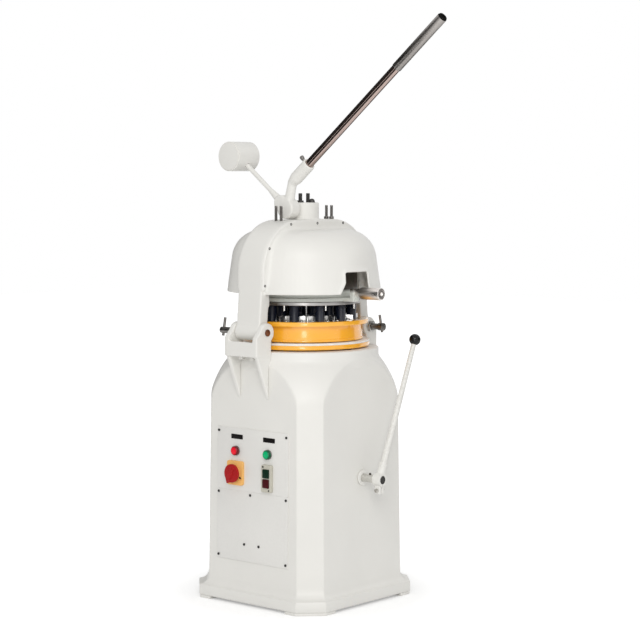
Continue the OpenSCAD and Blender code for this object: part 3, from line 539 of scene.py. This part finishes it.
# Push buttons. A beige moulded frame, held by two small screws, carries a dark green start button over a
# dark red stop button; each sinks into its well and springs back.
beige = plastic("beige plastic", (0.55, 0.53, 0.45), roughness=0.5, Specular_IOR_Level=0.3)
start_green = plastic("dark green plastic", (0.005, 0.026, 0.013), roughness=0.4, Specular_IOR_Level=0.1)
stop_red = plastic("dark red plastic", (0.066, 0.006, 0.009), roughness=0.4, Specular_IOR_Level=0.1)
dressed("button_frame", "button_frame_moulding", "base", beige, edge=0.0015, segments=3)
low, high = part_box("button_frame")
screw_proud, screw_side, screw_in = 0.0002, 0.009, 0.007
screw = [
    (0, 0.0), (0.0012, 0.0), (0.0014, 0.0009), (0.0026, 0.0009), (0.003, 0.0), (0.003, -0.004), (0, -0.004),
]
for name, side, level in (
    ("button_frame_screw_upper", high[1] - screw_side, high[2] - screw_in),
    ("button_frame_screw_lower", low[1] + screw_side, low[2] + screw_in),
):
    head = turned(screw, Matrix.Translation((low[0] - screw_proud, side, level)) @ facing_left, steps=20)
    settle(head, name, "base", dark_steel, [])
dressed(
    "start_button", "start_button_cap", "start", start_green, edge=0.0015, segments=3,
)
dressed("stop_button", "stop_button_cap", "stop", stop_red, edge=0.0015, segments=3)


# Rounding lever. A steel shaft with a dark plug in its end turns in a painted bush and carries a split
# cast clamp; a tapered painted rod stands in the clamp under a collar and ends in a black ball knob.
def banded(material, axis, low, high, first, second):
    """Lets a material's colour pass into another along an axis, between two places on it."""
    tree = material.node_tree
    here = add(tree, "TexCoord").outputs["Object"]
    place = add(tree, "SeparateXYZ", {0: here}).outputs[axis]
    recoloured(material, tone(tree, place, low, high, 0.0, 1.0), first, second)


bright_steel = metal("ground shaft steel", (0.66, 0.65, 0.62), roughness=0.22, streak=0.1)
dressed("lever_bush", "lever_bush_flange", "base", off_white, edge=0.001)
dressed("lever_shaft", "rounding_shaft", "rounding_lever", bright_steel, edge=0.0015)
cast_form(
    "lever_clamp", "rounding_clamp", "rounding_lever", off_white, grain=0.0011, passes=5,
)

shaft_z, rod_lean = 0.441, Matrix.Rotation(radians(22.3), 4, "Y")
low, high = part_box("lever_ball")
middle = (Vector(low) + Vector(high)) / 2
foot = Vector((0, middle.y, shaft_z))
on_rod = Matrix.Translation(foot) @ rod_lean
spigot_r, rod_low_r, rod_high_r = 0.0089, 0.0108, 0.0086
rod_end = (middle - foot).length - 0.016
rod = [
    (0, 0.031), (spigot_r, 0.031), (spigot_r, 0.0575), (rod_low_r, 0.058), (rod_high_r, rod_end),
    (0, rod_end),
]
settle(turned(rod, on_rod), "rounding_rod", "rounding_lever", off_white, ["lever_rod"])
collar_in, collar_out, collar_low, collar_high, collar_edge = 0.0106, 0.0152, 0.044, 0.061, 0.0006
collar = [
    (collar_in, collar_low), (collar_out - collar_edge, collar_low), (collar_out, collar_low + collar_edge),
    (collar_out, collar_high - collar_edge), (collar_out - collar_edge, collar_high),
    (collar_in, collar_high), (collar_in, collar_low),
]
settle(turned(collar, on_rod), "rounding_rod_collar", "rounding_lever", off_white, [])

knob_black = plastic("black phenolic", (0.004, 0.004, 0.004), roughness=0.1, Specular_IOR_Level=0.28)
reach = (high[1] - low[1]) / 2
flat_low, flat_r = -reach * 0.99, reach * 0.3
knob = [(0, flat_low), (flat_r, flat_low)]
knob += [(reach * sin(step * pi / 24), -reach * cos(step * pi / 24)) for step in range(3, 25)]
knob = turned(knob, Matrix.Translation(middle) @ rod_lean)
settle(knob, "rounding_ball", "rounding_lever", knob_black, ["lever_ball"])

facing_front = Matrix.Rotation(pi / 2, 4, "X")
shaft_end = Matrix.Translation((0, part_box("lever_shaft")[0][1], shaft_z)) @ facing_front
plug = [
    (0, -0.001), (0.0133, -0.001), (0.0133, 0.0036), (0.0126, 0.0043), (0.009, 0.0043), (0.0082, 0.0036),
    (0, 0.0036),
]
settle(turned(plug, shaft_end), "rounding_shaft_plug", "rounding_lever", dark_steel, [])
bolt_colour, grub_colour = (0.5, 0.48, 0.45), (0.07, 0.06, 0.05)
screw_steel = metal("clamp screw steel", bolt_colour, roughness=0.4, streak=0.2)
banded(screw_steel, "Z", shaft_z - 0.011, shaft_z + 0.004, bolt_colour, grub_colour)
dressed("clamp_screws", "clamp_screw_set", "rounding_lever", screw_steel, edge=0.0008)


# Drive. An upright motor on a plate inside the body turns the crank shaft by a belt; the shaft runs in a
# housing under the deck. These pieces are seen only with the panels off.
motor_paint = finished(
    "motor enamel", paint_film,
    {"Color": (0.16, 0.2, 0.24, 1), "Worn": (0.3, 0.3, 0.3, 1), "Wear": 0.6, "Roughness": 0.45}, bump=0.0001,
)
rubber = plastic("belt rubber", (0.02, 0.02, 0.02), roughness=0.7, grain=900.0)
dressed("motor", "motor_case", "base", motor_paint, edge=0.003)
dressed("motor_plate", "motor_carrier", "base", plain_steel, edge=0.0012)
dressed("motor_pulley", "small_pulley", "motor_rotor", plain_steel, edge=0.001)
dressed("drive_belt", "belt_loop", "base", rubber, edge=0.001)
dressed("crank_shaft", "crank", "crank", bright_steel, edge=0.001)
dressed("crank_pulley", "large_pulley", "crank", plain_steel, edge=0.001)
dressed("bearing_housing", "bearing_carrier", "base", plain_steel, edge=0.002)
dressed("glide_pads", "glide_pad_set", "base", rubber, edge=0.001)


# Moulding table. A cast disc sprayed orange that orbits on the crank, with a loose white plastic plate on
# it, on which the dough is rounded.
orange = finished(
    "orange enamel", paint_film,
    {"Color": (1.0, 0.47, 0.026, 1), "Worn": (0.6, 0.3, 0.06, 1), "Wear": 0.4, "Roughness": 0.22},
    bump=0.00006, Coat_Weight=0.8, Coat_Roughness=0.1,
)
white_plate = plastic("white food plastic", (0.82, 0.82, 0.8), roughness=0.35)
dressed("moulding_table", "orbiting_table", "table", orange, edge=0.002, segments=3)
dressed("moulding_plate", "dough_plate", "table", white_plate, edge=0.001)


# Divider ring. An orange cast ring with a rolled lip and two ears, which slides on guide pins and walls
# in the dough while it is pressed and cut.
dressed("divider_ring", "dough_ring", "ring", orange, edge=0.002, segments=3)
dressed("ring_guides", "ring_guide_pins", "head", bright_steel, edge=0.0008)


# Press. The lever's plunger carries a turned drum, grey below and painted dark above as shade inside the
# dome, and a steel disc; thirty plastic-coated segments hang from the disc on pillars and press the dough
# flat.
disc_steel = metal("turned disc steel", (0.38, 0.37, 0.36), roughness=0.36, streak=0.08, grain=(1, 1, 0.02))
drum_colour, drum_painted_shade, painted_shade_low, painted_shade_high = (0.67, 0.69, 0.64), (0.035, 0.026, 0.018), 1.078, 1.088
drum_grey = finished(
    "grey drum paint with painted shade", paint_film,
    {"Color": (*drum_colour, 1), "Worn": (0.25, 0.24, 0.22, 1), "Wear": 0.5, "Roughness": 0.4}, bump=0.0001,
)
# The drum's upper band, inside the dome, is painted shade.
banded(drum_grey, "Z", painted_shade_low, painted_shade_high, drum_colour, drum_painted_shade)
navy = plastic("navy coating", (0.006, 0.009, 0.02), roughness=0.3, Coat_Weight=0.2)
dressed("plunger", "press_plunger", "press", bright_steel, edge=0.001)
dressed("press_drum", "press_drum_shell", "press", drum_grey, edge=0.002)
dressed("press_disc", "press_disc_plate", "press", disc_steel, edge=0.002, segments=3)
dressed("press_segments", "press_segment_set", "press", navy, edge=0.0008, segments=1)


def on_circle(radius, degrees, z):
    """A place on a circle round the machine's axis."""
    return Matrix.Translation((radius * cos(radians(degrees)), radius * sin(radians(degrees)), z))


low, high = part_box("press_segments")
screw_ring, screw_apart, screw_z = 0.178, 8.6, low[2] + 0.0098
dome = [
    (0, 0.012), (0.0016, 0.0118), (0.0038, 0.0108), (0.0055, 0.0088), (0.0062, 0.006), (0.0062, 0), (0, 0),
]
for count in range(24):
    degrees = 30 * (count // 2) + (screw_apart if count % 2 else -screw_apart)
    head = turned(dome, on_circle(screw_ring, degrees, screw_z), steps=24)
    settle(head, f"segment_screw_{count + 1}", "press", bright_steel, [])
pin_ring, pin_z, pin_len, first_pin = 0.186, high[2] - 0.019, 0.0195, 20
pin = [(0, 0), (0.0026, 0), (0.0036, 0.001), (0.0036, pin_len), (0, pin_len)]
for count in range(8):
    peg = turned(pin, on_circle(pin_ring, 45 * count + first_pin, pin_z), steps=20)
    settle(peg, f"disc_pin_{count + 1}", "press", bright_steel, [])


# Knives. Thin steel blades in two rings and rays, joined into one grid that hangs on four lift rods and
# slides between the press segments.
blade_steel = metal("blade steel", (0.62, 0.62, 0.61), roughness=0.25, streak=0.15, grain=(1, 1, 0.05))
dressed("knife_grid", "knife_blades", "knives", blade_steel, edge=0.0004, segments=1)


# Knife lock. A ring that turns on the drum, with a post at the front and a turned steel handle whose end
# is recessed round a small centre hole.
handle_steel = metal(
    "handle steel", (0.76, 0.72, 0.69), roughness=0.3, streak=0.06, grain=(0.3, 8, 0.3), bump=0.000002,
)
dressed("lock_ring", "knife_lock_ring", "knife_lock", drum_grey, edge=0.0015)
low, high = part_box("lock_handle")
span = high[1] - low[1]
bar = [
    (0, 0), (0.011, 0), (0.013, 0.012), (0.0196, 0.0245), (0.021, 0.029), (0.021, span - 0.0028),
    (0.0203, span - 0.0008), (0.0188, span), (0.0162, span), (0.0156, span - 0.0014),
    (0.0142, span - 0.0014), (0.0136, span), (0.007, span), (0.002, span - 0.005), (0, span - 0.005),
]
root = Matrix.Translation(((low[0] + high[0]) / 2, high[1], (low[2] + high[2]) / 2))
bar = turned(bar, root @ facing_front, steps=64)
settle(bar, "knife_lock_handle", "knife_lock", handle_steel, ["lock_handle"])


# Head castings. The arch with its legs, crown, guide barrel and boss, and two half domes bolted to its
# front and back by flanges. Their seams are filled and rubbed down, so the paint runs on over them; the
# front dome has a thick lip round its notch for the knife lock's handle.
lip_r, lip_steps = 0.0052, 8
notch = [
    (-0.1, 1.079), (-0.077, 1.115), (-0.075, 1.149), (-0.07, 1.1545), (0.033, 1.1545), (0.0385, 1.149),
    (0.0385, 1.079),
]
along = [
    Vector(a).lerp(Vector(b), step / lip_steps) for a, b in zip(notch, notch[1:]) for step in range(lip_steps)
] + [Vector(notch[-1])]
path = bpy.data.curves.new("notch lip", "CURVE")
path.dimensions, path.bevel_depth, path.bevel_resolution, path.use_fill_caps = "3D", lip_r, 3, True
thread = path.splines.new("POLY")
thread.points.add(len(along) - 1)
ahead = -0.6
for point, spot in zip(thread.points, along):
    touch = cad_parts["front_cover"].ray_cast((spot.x, ahead, spot.y), (0, 1, 0))[1]
    point.co = (*touch, 1)
rope = bpy.data.objects.new("notch lip", path)
bpy.context.scene.collection.objects.link(rope)
lip = bpy.data.meshes.new_from_object(rope.evaluated_get(bpy.context.evaluated_depsgraph_get()))
head_skin = moulded(["arch_frame", "front_cover", "rear_cover"], grain=0.0028, lip=lip)
bpy.data.objects.remove(rope)
bpy.data.curves.remove(path)
bpy.data.meshes.remove(lip)


def inside_rim(co):
    """How far a point lies inside the outline of the arch and its flanges."""
    half, top, arc = 0.279, 1.327, 0.180
    out, up = abs(co.x) - (half - arc), co.z - (top - arc)
    if up < 0:
        return half - abs(co.x)
    return arc - sqrt(max(out, 0) ** 2 + up ** 2)


def on_flange(co):
    """Whether a point lies where a dome's flange meets the arch, away from the outer rim."""
    near, far, foot, rim = 0.042, 0.11, 1.1, 0.014
    return near < abs(co.y) < far and co.z > foot and inside_rim(co) > rim


eased(head_skin, passes=7)
eased(head_skin, passes=45, near=on_flange)


def slice_of(form, low, high):
    """The part of a form between two upright cuts across Y, closed where it is cut."""
    part = form.copy()
    for depth, way in ((low, -1), (high, 1)):
        if depth is None:
            continue
        geom = part.verts[:] + part.edges[:] + part.faces[:]
        made = bmesh.ops.bisect_plane(
            part, geom=geom, dist=1e-6, plane_co=(0, depth, 0), plane_no=(0, way, 0), clear_outer=True,
        )["geom_cut"]
        rim = [g for g in made if isinstance(g, bmesh.types.BMEdge)]
        bmesh.ops.triangle_fill(part, edges=rim, use_beauty=True)
    return part


seam_y, screw_sink = 0.0543, 0.002
for name, node, low, high in (
    ("arch_casting", "arch_frame", -seam_y, seam_y),
    ("front_dome", "front_cover", None, -seam_y),
    ("rear_dome", "rear_cover", seam_y, None),
):
    part = slice_of(head_skin, low, high)
    settle(part, name, "head", off_white, [node], crease=60, turn=False)
head_skin.free()
heads = copied("cover_screws")
for vert in heads.verts:
    vert.co.y -= screw_sink if vert.co.y > 0 else -screw_sink
round_over(heads, screw_edge, segments=3)
settle(heads, "cover_screw_heads", "head", dark_steel, ["cover_screws"])


# Studs. Bare threaded studs left standing on the crown, two short posts on the boss and a bolt beside
# them. The right-hand studs and one post still have their nuts.
def threaded(radius, length, pitch):
    """Profile of a threaded rod with a broken end."""
    depth, broken = 0.0007, 0.0012
    turns = int(length / pitch)
    waves = [(radius - (depth if step % 2 else 0), step * pitch / 2) for step in range(2 * turns - 1)]
    return [(0, 0)] + waves + [(radius - broken, length), (0, length)]


def add_nut(form, spot, radius, tall, edge):
    """Adds a hexagon nut with broken edges to a form."""
    nut = set(bmesh.ops.create_cone(
        form, cap_ends=True, segments=6, radius1=radius, radius2=radius, depth=tall,
        matrix=Matrix.Translation(spot),
    )["verts"])
    rims = [rim for rim in form.edges if rim.verts[0] in nut]
    bmesh.ops.bevel(form, geom=rims, offset=edge, affect="EDGES", segments=2, profile=0.5, material=-1)


stud_steel = metal("stud steel", (0.2, 0.19, 0.18), roughness=0.34, streak=0.2)
low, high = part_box("arch_studs")
stud_x, stud_y, stud_r, nut_up = 0.133, 0.012, 0.0054, 0.0235
stands = ["arch_studs"]
for count, (x, y) in enumerate((x, y) for x in (-stud_x, stud_x) for y in (-stud_y, stud_y)):
    stud = turned(
        threaded(stud_r, high[2] - low[2], pitch=0.002), Matrix.Translation((x, y, low[2])), steps=20,
    )
    if x > 0:
        add_nut(stud, (x, y, low[2] + nut_up), radius=0.0092, tall=0.009, edge=0.0007)
    settle(stud, f"crown_stud_{count + 1}", "head", stud_steel, stands)
    stands = []
low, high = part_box("boss_studs")
boss_top, post_x, post_r, nut_tall, bolt_y = high[2] - 0.032, 0.02, 0.007, 0.007, -0.036
stands = ["boss_studs"]
for count, x in enumerate((-post_x, post_x)):
    post = turned(
        threaded(post_r, high[2] - low[2], pitch=0.0025), Matrix.Translation((x, 0, low[2])), steps=24,
    )
    if x < 0:
        add_nut(post, (x, 0, boss_top + nut_tall / 2), radius=0.0125, tall=nut_tall, edge=0.0008)
    settle(post, f"boss_post_{count + 1}", "head", dark_steel, stands)
    stands = []
bolt = [
    (0, 0.0135), (0.0035, 0.0132), (0.0075, 0.0112), (0.0098, 0.0075), (0.0105, 0.003), (0.0115, 0.0028),
    (0.0115, 0), (0, 0),
]
bolt = turned(bolt, Matrix.Translation((0, bolt_y, boss_top)), steps=32)
settle(bolt, "boss_cap_bolt", "head", dark_steel, [])


# Hinge pin and lock screw. Steel pins with tee bars through the two brackets; the hinge pin's end has
# gone brown.
brown = metal("browned pin steel", (0.24, 0.11, 0.06), roughness=0.45, streak=0.2)
banded(brown, "Y", low=0.04, high=0.09, first=(0.24, 0.1, 0.055), second=(0.2, 0.19, 0.18))
dressed("hinge_pin", "hinge_pin_tee", "hinge_pin", brown, edge=0.001)
dressed("lock_screw", "lock_screw_tee", "lock_screw", stud_steel, edge=0.001)


# Press lever. A cast elbow on the cross shaft takes a polished tube on one side and a painted
# counterweight on the other; the tube ends in a brushed grip sleeve with a black plug.
tube_lean, tube_foot, drawn_out = radians(50.7), (-0.085, -0.022, 1.456), (0.3, 0.3, 9)
on_tube = Matrix.Translation(tube_foot) @ Matrix.Rotation(tube_lean, 4, "X")
# The tube's warm, dark colour is painted reflection of its surroundings.
polished = metal(
    "polished tube", (0.41, 0.32, 0.29), roughness=0.11, streak=0.03, grain=drawn_out, turn=(tube_lean, 0, 0),
    bump=0.000001,
)
brushed = metal(
    "brushed sleeve", (0.33, 0.31, 0.295), roughness=0.33, streak=0.07, grain=drawn_out,
    turn=(tube_lean, 0, 0), bump=0.000002,
)
plug_black = plastic("plug rubber", (0.006, 0.006, 0.006), roughness=0.75, Specular_IOR_Level=0.05)
dressed("press_shaft", "cross_shaft", "press_lever", bright_steel, edge=0.001)
cast_form(
    "lever_elbow", "lever_elbow_casting", "press_lever", off_white, grain=0.0018,
    passes=24,
)
tube_in, tube_r, tube_low, tube_high = 0.012, 0.015, 0.03, 0.828
tube = [
    (tube_in, tube_low), (tube_r, tube_low), (tube_r, tube_high), (tube_in, tube_high), (tube_in, tube_low),
]
tube = turned(tube, on_tube, steps=96)
settle(tube, "lever_tube_polished", "press_lever", polished, ["lever_tube"])
grip_in, grip_r, grip_low, grip_high = tube_r + 0.00002, 0.017, 0.596, 0.838
grip_edge = [(grip_r - 0.0006, 0), (grip_r - 0.0002, 0.0002), (grip_r, 0.0007)]
sleeve = [(grip_in, grip_low)] + [(radius, grip_low + rise) for radius, rise in grip_edge]
sleeve += [(radius, grip_high - rise) for radius, rise in reversed(grip_edge)]
sleeve += [(grip_in, grip_high), (grip_in, grip_low)]
sleeve = turned(sleeve, on_tube, steps=96)
settle(sleeve, "lever_grip_sleeve", "press_lever", brushed, ["lever_grip"])
dressed("grip_plug", "lever_end_plug", "press_lever", plug_black, edge=0.001)
dressed("elbow_bolt", "elbow_clamp_bolt", "press_lever", stud_steel, edge=0.0008)
dressed(
    "counterweight", "lever_counterweight", "press_lever", off_white, edge=0.007,
    segments=5,
)


# Studio. A pale floor that runs out to white, a broad key light and a low front light near the camera,
# an even white surround, and dark cards that only polished metal sees.
scene = bpy.context.scene
scene.view_settings.view_transform = "Standard"

bearing, turn, pitch = radians(-48.35), radians(-0.48), radians(4.352)
distance, eye_z, focal_px, picture_px, sensor = 6.6364, 1.4773, 1889.1, 640, 36
aim = Vector((-sin(bearing + turn) * cos(pitch), cos(bearing + turn) * cos(pitch), -sin(pitch)))
optics = bpy.data.cameras.new("photograph view")
optics.sensor_width, optics.lens, optics.clip_end = sensor, sensor * focal_px / picture_px, 60
camera = bpy.data.objects.new("photograph view", optics)
camera.location = (sin(bearing) * distance, -cos(bearing) * distance, eye_z)
camera.rotation_mode = "QUATERNION"
camera.rotation_quaternion = aim.to_track_quat("-Z", "Y")
scene.collection.objects.link(camera)
scene.camera = camera


def seen_directly(tree):
    """1 for rays from the camera, off metal or through glass."""
    light = add(tree, "LightPath").outputs
    first = worked(tree, "MAXIMUM", light["Is Camera Ray"], light["Is Glossy Ray"])
    return worked(tree, "MAXIMUM", first, light["Is Transmission Ray"])


ground = bmesh.new()
bmesh.ops.create_grid(ground, x_segments=4, y_segments=4, size=14)
floor_mesh = bpy.data.meshes.new("floor")
ground.to_mesh(floor_mesh)
ground.free()
floor = bpy.data.objects.new("floor", floor_mesh)
scene.collection.objects.link(floor)
floor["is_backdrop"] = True
pale = bpy.data.materials.new("pale floor")
pale.use_nodes = True
tree = pale.node_tree
matt = tree.nodes["Principled BSDF"]
matt.inputs["Base Color"].default_value = (0.86, 0.86, 0.86, 1)
matt.inputs["Roughness"].default_value = 0.9
matt.inputs["Specular IOR Level"].default_value = 0.0
shade_from, shade_to, glow_near, glow_far = 0.4, 0.75, 0.28, 0.6
here = add(tree, "TexCoord").outputs["Object"]
far = add(tree, "VectorMath", {0: here}, operation="LENGTH").outputs["Value"]
lift = tone(tree, far, shade_from, shade_to, glow_near, glow_far)
strength = worked(tree, "MULTIPLY", seen_directly(tree), lift)
glow = add(tree, "Emission", {"Color": (1, 1, 1, 1), "Strength": strength})
both = add(tree, "AddShader", {0: matt.outputs[0], 1: glow.outputs[0]})
tree.links.new(both.outputs[0], tree.nodes["Material Output"].inputs["Surface"])
floor_mesh.materials.append(pale)

surround = 0.672
world = bpy.data.worlds.new("white studio")
world.use_nodes = True
scene.world = world
tree = world.node_tree
sky = tree.nodes["Background"]
sky.inputs["Color"].default_value = (1, 1, 1, 1)
tree.links.new(tone(tree, seen_directly(tree), 0.0, 1.0, surround, 1.0), sky.inputs["Strength"])

warm, lit = (1.0, 0.99, 0.97), Vector((0, 0, 1.0))
for name, spot, wide, tall, power in (
    ("key light", (-3.85, -3.5, 3.3), 2.6, 2.6, 100),
    ("front light", (-3.75, -3.33, 0.75), 0.75, 1.1, 17),
):
    lamp = bpy.data.lights.new(name, "AREA")
    lamp.energy, lamp.shape, lamp.size, lamp.size_y, lamp.color = power, "RECTANGLE", wide, tall, warm
    stand = bpy.data.objects.new(name, lamp)
    stand.location = spot
    stand.rotation_mode = "QUATERNION"
    stand.rotation_quaternion = (lit - Vector(spot)).to_track_quat("-Z", "Y")
    scene.collection.objects.link(stand)

black = bpy.data.materials.new("black card")
black.use_nodes = True
black.node_tree.nodes["Principled BSDF"].inputs["Base Color"].default_value = (0.012, 0.011, 0.01, 1)
for name, spot, target, size in (
    ("dark card left", (-4.2, 3.2, 1.8), (0, 0, 1.8), 3.6),
    ("dark card back", (1.0, 5.4, 1.8), (0, 0, 1.8), 3.5),
    ("dark card right", (3.9, -3.7, 1.3), (0, 0, 1.3), 2.0),
    ("dark card floor", (2.5, 0.2, 0.01), (2.5, 0.2, 1.0), 1.4),
    ("dark card floor left", (-2.6, 0.35, 0.01), (-2.6, 0.35, 1.0), 1.35),
):
    card = bmesh.new()
    facing = (Vector(target) - Vector(spot)).to_track_quat("Z", "Y").to_matrix().to_4x4()
    place = Matrix.Translation(spot) @ facing
    bmesh.ops.create_grid(card, x_segments=1, y_segments=1, size=size, matrix=place)
    sheet = bpy.data.meshes.new(name)
    card.to_mesh(sheet)
    card.free()
    sheet.materials.append(black)
    board = bpy.data.objects.new(name, sheet)
    board.visible_camera = board.visible_diffuse = board.visible_shadow = board.visible_transmission = False
    scene.collection.objects.link(board)
    board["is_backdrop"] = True

low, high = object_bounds()
